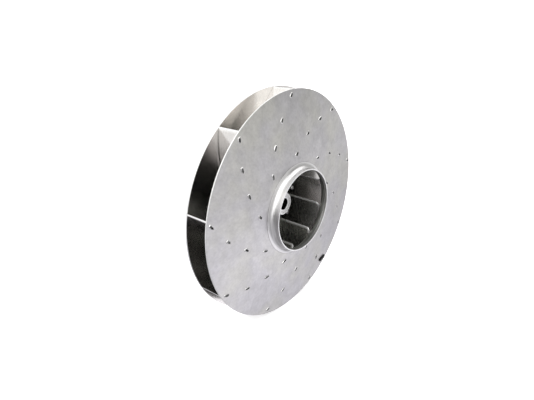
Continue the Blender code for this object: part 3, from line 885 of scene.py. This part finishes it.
class FANWHEEL_OT_rivets(PieceOperator, bpy.types.Operator):
    """Add the domed rivets through the back plate and the disc"""

    bl_idname = "fan_wheel.rivets"
    bl_label = "Rivets"

    def build(self, sizes, colours):
        """A head and a closed end, each a quarter of an oval, with the shank between them."""
        low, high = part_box("rivet_1")
        ends = -low.y, -high.y
        dome = np.linspace(0, math.pi / 2, 9)[1:]

        def quarter(radius, seat, top, bend):
            """Radius * sin(bend) from the axis, and from the seat to the top by cos(bend)."""
            return beside(radius * np.sin(bend), seat + (top - seat) * np.cos(bend))

        head = quarter(sizes.rivet_head, sizes.plate_front, ends[0], dome)
        tail = quarter(sizes.rivet_tail, sizes.disc_rear, ends[1], dome[::-1])
        shank = [(sizes.rivet_shank, sizes.plate_front), (sizes.rivet_shank, sizes.disc_rear)]
        profile = np.concatenate([head, shank, tail])
        material = once(plain_steel_finish, "rivet_metal", colours.turned, 0.32)
        for i, turn in enumerate(sizes.rivet_angle + circle(sizes.rivet_count)):
            centre = polar(sizes.rivet_circle, turn)
            self.add_rivet("rivet_%d" % (i + 1), material, profile, centre, ends)

    def add_rivet(self, name, material, profile, centre, ends):
        """A profile turned about the rivet's own axis, closed by a point at each end."""
        steps = 32
        x, y = polar(profile[:, :1], circle(steps)[None, :])
        rings = to_scene(centre[0] + x, centre[1] + y, profile[:, 1:]).reshape(-1, 3)
        poles = to_scene(*centre, np.array(ends))
        surface = np.concatenate([rings, poles]), capped_faces(len(profile), steps)
        add_piece(name + "_domed", surface, material, [name])


class FANWHEEL_OT_balance_weight(PieceOperator, bpy.types.Operator):
    """Add the small steel strip welded on the shroud near its rim"""

    bl_idname = "fan_wheel.balance_weight"
    bl_label = "Balance Weight"

    def build(self, sizes, colours):
        outward = np.array([*polar(1.0, sizes.weight_angle), 0.0])
        normal = np.array([0.0, 0.0, 1.0]) + sizes.shroud_fall * outward
        normal /= np.linalg.norm(normal)
        along = np.array([*polar(1.0, sizes.weight_twist), 0.0])
        along -= along @ normal * normal
        along /= np.linalg.norm(along)
        across = np.cross(normal, along)
        seat = sizes.weight_circle * outward
        seat[2] = shroud_outer(sizes, sizes.weight_circle)
        centre = seat + sizes.weight_thickness / 2 * normal

        def grid(inset):
            """Even steps over the strip's length and width."""
            half_length, half_width = sizes.weight_length / 2 - inset, sizes.weight_width / 2 - inset
            return np.broadcast_arrays(np.linspace(-half_length, half_length, 25)[:, None],
                                       np.linspace(-half_width, half_width, 9)[None, :])

        def place(a, b, offset):
            """On the shroud's slope, along and across the strip."""
            return tuple(centre[i] + a * along[i] + b * across[i] + offset * normal[i] for i in range(3))

        surface = slab_surface(grid, place, sizes.weight_thickness, 0.0007, steps=4)
        material = once(plain_steel_finish, "weight_metal", colours.weight, 0.5)
        add_piece("balance_weight_strip", surface, material, ["balance_weight"])


class FANWHEEL_OT_tab_welds(PieceOperator, bpy.types.Operator):
    """Add the short welds that close the slots over the blades' tabs, on both plates"""

    bl_idname = "fan_wheel.tab_welds"
    bl_label = "Tab Welds"

    def build(self, sizes, colours):
        radius = tab_places(sizes)[0]
        front, back = shroud_outer(sizes, radius), np.full_like(radius, sizes.plate_rear)
        material = once(weld_finish, "weld_metal", colours)
        self.add_welds("tab_welds_front", sizes, material, front, 1.0, sizes.shroud_fall, 3)
        self.add_welds("tab_welds_back", sizes, material, back, -1.0, 0.0, 4)

    def add_welds(self, name, sizes, material, seat, side, fall, seed):
        """Each weld is a ring of bead round a crater: rings of a long rounded outline, one in another.

        The outline is (a cos^s, b sin^s) with s below 1, which squares it off, and swells and shrinks in a
        few waves round it. The height over the sheet is read from a curve of the ring's share, and the
        crater lies a little to one side.
        """
        chance = np.random.default_rng(seed)
        radius, angle, heading, seat = (value[:, None, None] for value in (*tab_places(sizes), seat))
        marks, steps = len(radius), 40

        def each(low, high):
            """One random number for each weld."""
            return chance.uniform(low, high, marks)[:, None, None]

        def squared_off(wave):
            """A power below 1 that keeps the wave's sign."""
            return np.sign(wave) * np.abs(wave) ** 0.8

        share = np.array([0.18, 0.36, 0.48, 0.58, 0.68, 0.78, 0.87, 0.94, 1.0, 0.8])[None, :, None]
        rise = np.array([0.05, 0.10, 0.32, 0.70, 0.95, 1.0, 0.80, 0.45, -0.05, -0.5])[None, :, None]
        swing = circle(steps)[None, None, :]
        half_length = (sizes.tab_length / 2 + 0.0018) * each(0.82, 1.12)
        half_width = 0.0041 * each(0.85, 1.15)
        phase, height, lean = each(0, TURN), 0.0012 * each(0.75, 1.15), 0.0009 * each(-1, 1)
        waves = 1 + 0.07 * np.sin(3 * swing + phase) + 0.04 * np.sin(5 * swing + 2 * phase)
        a = half_length * share ** 0.75 * waves * squared_off(np.cos(swing))
        b = half_width * share ** 1.25 * waves * squared_off(np.sin(swing)) + lean * (1 - share)
        ripple = 1 + 0.14 * np.sin(a / half_length * 15 + phase) + 0.10 * np.sin(2 * swing + phase)
        lift = height * rise * np.where(rise > 0, ripple, 1.0)
        turn = heading + chance.normal(0, 0.07, marks)[:, None, None]
        x0, y0 = polar(radius, angle)
        x = x0 + a * np.cos(turn) - b * np.sin(turn)
        y = y0 + a * np.sin(turn) + b * np.cos(turn)
        level = seat - fall * (np.hypot(x, y) - radius)
        rings = to_scene(x, y, level + side * lift).reshape(marks, -1, 3)
        pole_shift = lean[:, :, 0] * np.array([1.0, 0.0])
        pole_rise = height[:, :, 0] * np.array([0.05, -0.5])
        poles = to_scene(x0[:, 0] - pole_shift * np.sin(turn[:, 0]),
                         y0[:, 0] + pole_shift * np.cos(turn[:, 0]), seat[:, 0] + side * pole_rise)
        points = np.concatenate([rings, poles], axis=1)
        starts = (np.arange(marks) * points.shape[1])[:, None, None]
        blocks = [(block[None] + starts).reshape(-1, block.shape[1])
                  for block in capped_faces(share.shape[1], steps)]
        piece = add_piece(name, (points.reshape(-1, 3), blocks), material)
        # Painted shade with dark oxide: the crater's inner rings are darkest
        dark = np.interp(share.ravel(), [0.58, 0.80], [1.0, 0.0])
        dark[-1] = 0.0
        oxide_and_shade_strength = each(0.8, 1.0)[:, :, 0]
        of_rings, of_poles = np.repeat(dark, steps)[None], np.array([[1.0, 0.0]])
        store(piece, "hollow", oxide_and_shade_strength * np.concatenate([of_rings, of_poles], axis=1))


class FANWHEEL_OT_ring_welds(PieceOperator, bpy.types.Operator):
    """Add the weld beads that run round the hub and along the inside of the ring's seam"""

    bl_idname = "fan_wheel.ring_welds"
    bl_label = "Ring Welds"

    def build(self, sizes, colours):
        material = once(weld_finish, "weld_metal", colours)
        seam = bend_arc(sizes, sizes.bend_radius, 1.0)
        lift = 0.0006
        hub = sizes.hub_radius + lift
        beads = [("hub_weld_front", hub, sizes.plate_front + lift, 0.0034, 90, 540),
                 ("hub_weld_rear", hub, sizes.disc_rear - lift, 0.0034, 90, 540),
                 ("ring_seam_weld", seam[0], seam[1] + lift, 0.0016, 420, 1680)]
        for name, radius, height, size, ripples, steps in beads:
            surface = bead_ring(radius, height, size, ripples, steps)
            piece = add_piece(name, surface, material)
            store(piece, "hollow", np.zeros(len(surface[0])))


class FANWHEEL_OT_stage(bpy.types.Operator):
    """Add the pale floor, the soft lights and the camera"""

    bl_idname = "fan_wheel.stage"
    bl_label = "Stage"
    bl_options = {"REGISTER", "UNDO"}

    def execute(self, context):
        stage = context.scene.fan_wheel_stage
        self.add_floor(context.scene.fan_wheel_sizes, context.scene.fan_wheel_colours)
        self.add_room(context.scene, stage)
        self.add_camera(context.scene, stage)
        return {"FINISHED"}

    def add_floor(self, sizes, colours):
        """A level sheet that the wheel's rim stands on, which curls up into a wall all round.

        Its height over the ground is curl * (distance - level reach)^2 from the level reach outwards. Metal
        doesn't show it, so that the wheel mirrors the soft lights alone.
        """
        steps, reach, level_reach, curl = 96, 24.0, 4.0, 0.03
        distance = np.concatenate([[0.5, 1.0, 2.0], np.linspace(level_reach, reach, 21)])[:, None]
        height = curl * np.maximum(distance - level_reach, 0) ** 2 - sizes.wheel_radius
        rings = beside(*polar(distance, circle(steps)[None, :]), height).reshape(-1, 3)
        points = np.concatenate([rings, [[0.0, 0.0, -sizes.wheel_radius]]])
        faces = [grid_faces(len(distance), steps, columns_meet=True),
                 fan_faces(np.arange(steps), len(rings))]
        finish = Finish("pale_floor", colours.floor, 0.85, 0.0)
        finish.feed(finish.shader.inputs["Emission Color"], (1.0, 1.0, 1.0, 1.0))
        finish.feed(finish.shader.inputs["Emission Strength"], 0.4)
        cloud = finish.pattern(finish.noise(1.5), 0.99, 1.01)
        floor = add_object("floor", points, faces, finish.set(finish.shade(colours.floor, cloud)))
        floor.visible_glossy = False
        floor.visible_shadow = False

    def add_room(self, scene, stage):
        """An even room with round soft lights far off, each of which fades smoothly from its middle."""
        world = bpy.data.worlds.new("room")
        world.use_nodes = True
        room = Nodes(world.node_tree)
        direction = room.node("TexCoord").outputs["Generated"]
        strength = stage.room
        for name, azimuth, rise, spread, brightness in SOFT_LIGHTS:
            around, up = math.radians(azimuth), math.radians(rise)
            middle = (math.cos(around) * math.cos(up), math.sin(around) * math.cos(up), math.sin(up))
            nearness = room.vector_math("DOT_PRODUCT", direction, middle)
            nearness.name = name
            light = room.spread(nearness.outputs["Value"], math.cos(math.radians(spread)), 1.0, 0.0,
                                brightness * stage.soft_lights, "SMOOTHSTEP")
            strength = room.add(strength, light)
        height = room.node("SeparateXYZ", direction).outputs["Z"]
        background = room.nodes["Background"]
        room.feed(background.inputs["Strength"], strength)
        room.feed(background.inputs["Color"],
                  room.blend(room.spread(height, -0.5, 0.0), stage.low_tint, stage.high_tint))
        scene.world = world
        scene.view_settings.view_transform = "Standard"

    def add_camera(self, scene, stage):
        camera = bpy.data.cameras.new("camera")
        camera.sensor_width = 36.0
        camera.lens = stage.camera_lens
        camera.clip_start = 0.01
        holder = bpy.data.objects.new("camera", camera)
        holder.location = stage.camera_place
        holder.rotation_mode = "QUATERNION"
        holder.rotation_quaternion = Vector(stage.camera_look).to_track_quat("-Z", "Y")
        scene.collection.objects.link(holder)
        scene.camera = holder


PIECE_OPERATORS = (FANWHEEL_OT_back_plate, FANWHEEL_OT_front_shroud, FANWHEEL_OT_inlet_ring,
                   FANWHEEL_OT_blades, FANWHEEL_OT_hub, FANWHEEL_OT_hub_disc, FANWHEEL_OT_rivets,
                   FANWHEEL_OT_balance_weight, FANWHEEL_OT_tab_welds, FANWHEEL_OT_ring_welds,
                   FANWHEEL_OT_stage)


class FANWHEEL_PT_panel(bpy.types.Panel):
    """The steps that build the wheel, in their order"""

    bl_idname = "FANWHEEL_PT_panel"
    bl_label = "Fan Wheel"
    bl_space_type = "VIEW_3D"
    bl_region_type = "UI"
    bl_category = "Fan Wheel"

    def draw(self, context):
        column = self.layout.column(align=True)
        for operator in PIECE_OPERATORS:
            column.operator(operator.bl_idname)


CLASSES = (FanWheelSizes, FanWheelColours, FanWheelStage, *PIECE_OPERATORS, FANWHEEL_PT_panel)


def register():
    for cls in CLASSES:
        bpy.utils.register_class(cls)
    bpy.types.Scene.fan_wheel_sizes = PointerProperty(type=FanWheelSizes)
    bpy.types.Scene.fan_wheel_colours = PointerProperty(type=FanWheelColours)
    bpy.types.Scene.fan_wheel_stage = PointerProperty(type=FanWheelStage)


def unregister():
    del bpy.types.Scene.fan_wheel_stage
    del bpy.types.Scene.fan_wheel_colours
    del bpy.types.Scene.fan_wheel_sizes
    for cls in reversed(CLASSES):
        bpy.utils.unregister_class(cls)


def main():
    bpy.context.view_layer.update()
    register()
    bpy.ops.fan_wheel.back_plate()
    bpy.ops.fan_wheel.front_shroud()
    bpy.ops.fan_wheel.inlet_ring()
    bpy.ops.fan_wheel.blades()
    bpy.ops.fan_wheel.hub()
    bpy.ops.fan_wheel.hub_disc()
    bpy.ops.fan_wheel.rivets()
    bpy.ops.fan_wheel.balance_weight()
    bpy.ops.fan_wheel.tab_welds()
    bpy.ops.fan_wheel.ring_welds()
    bpy.ops.fan_wheel.stage()


if __name__ == "__main__":
    main()
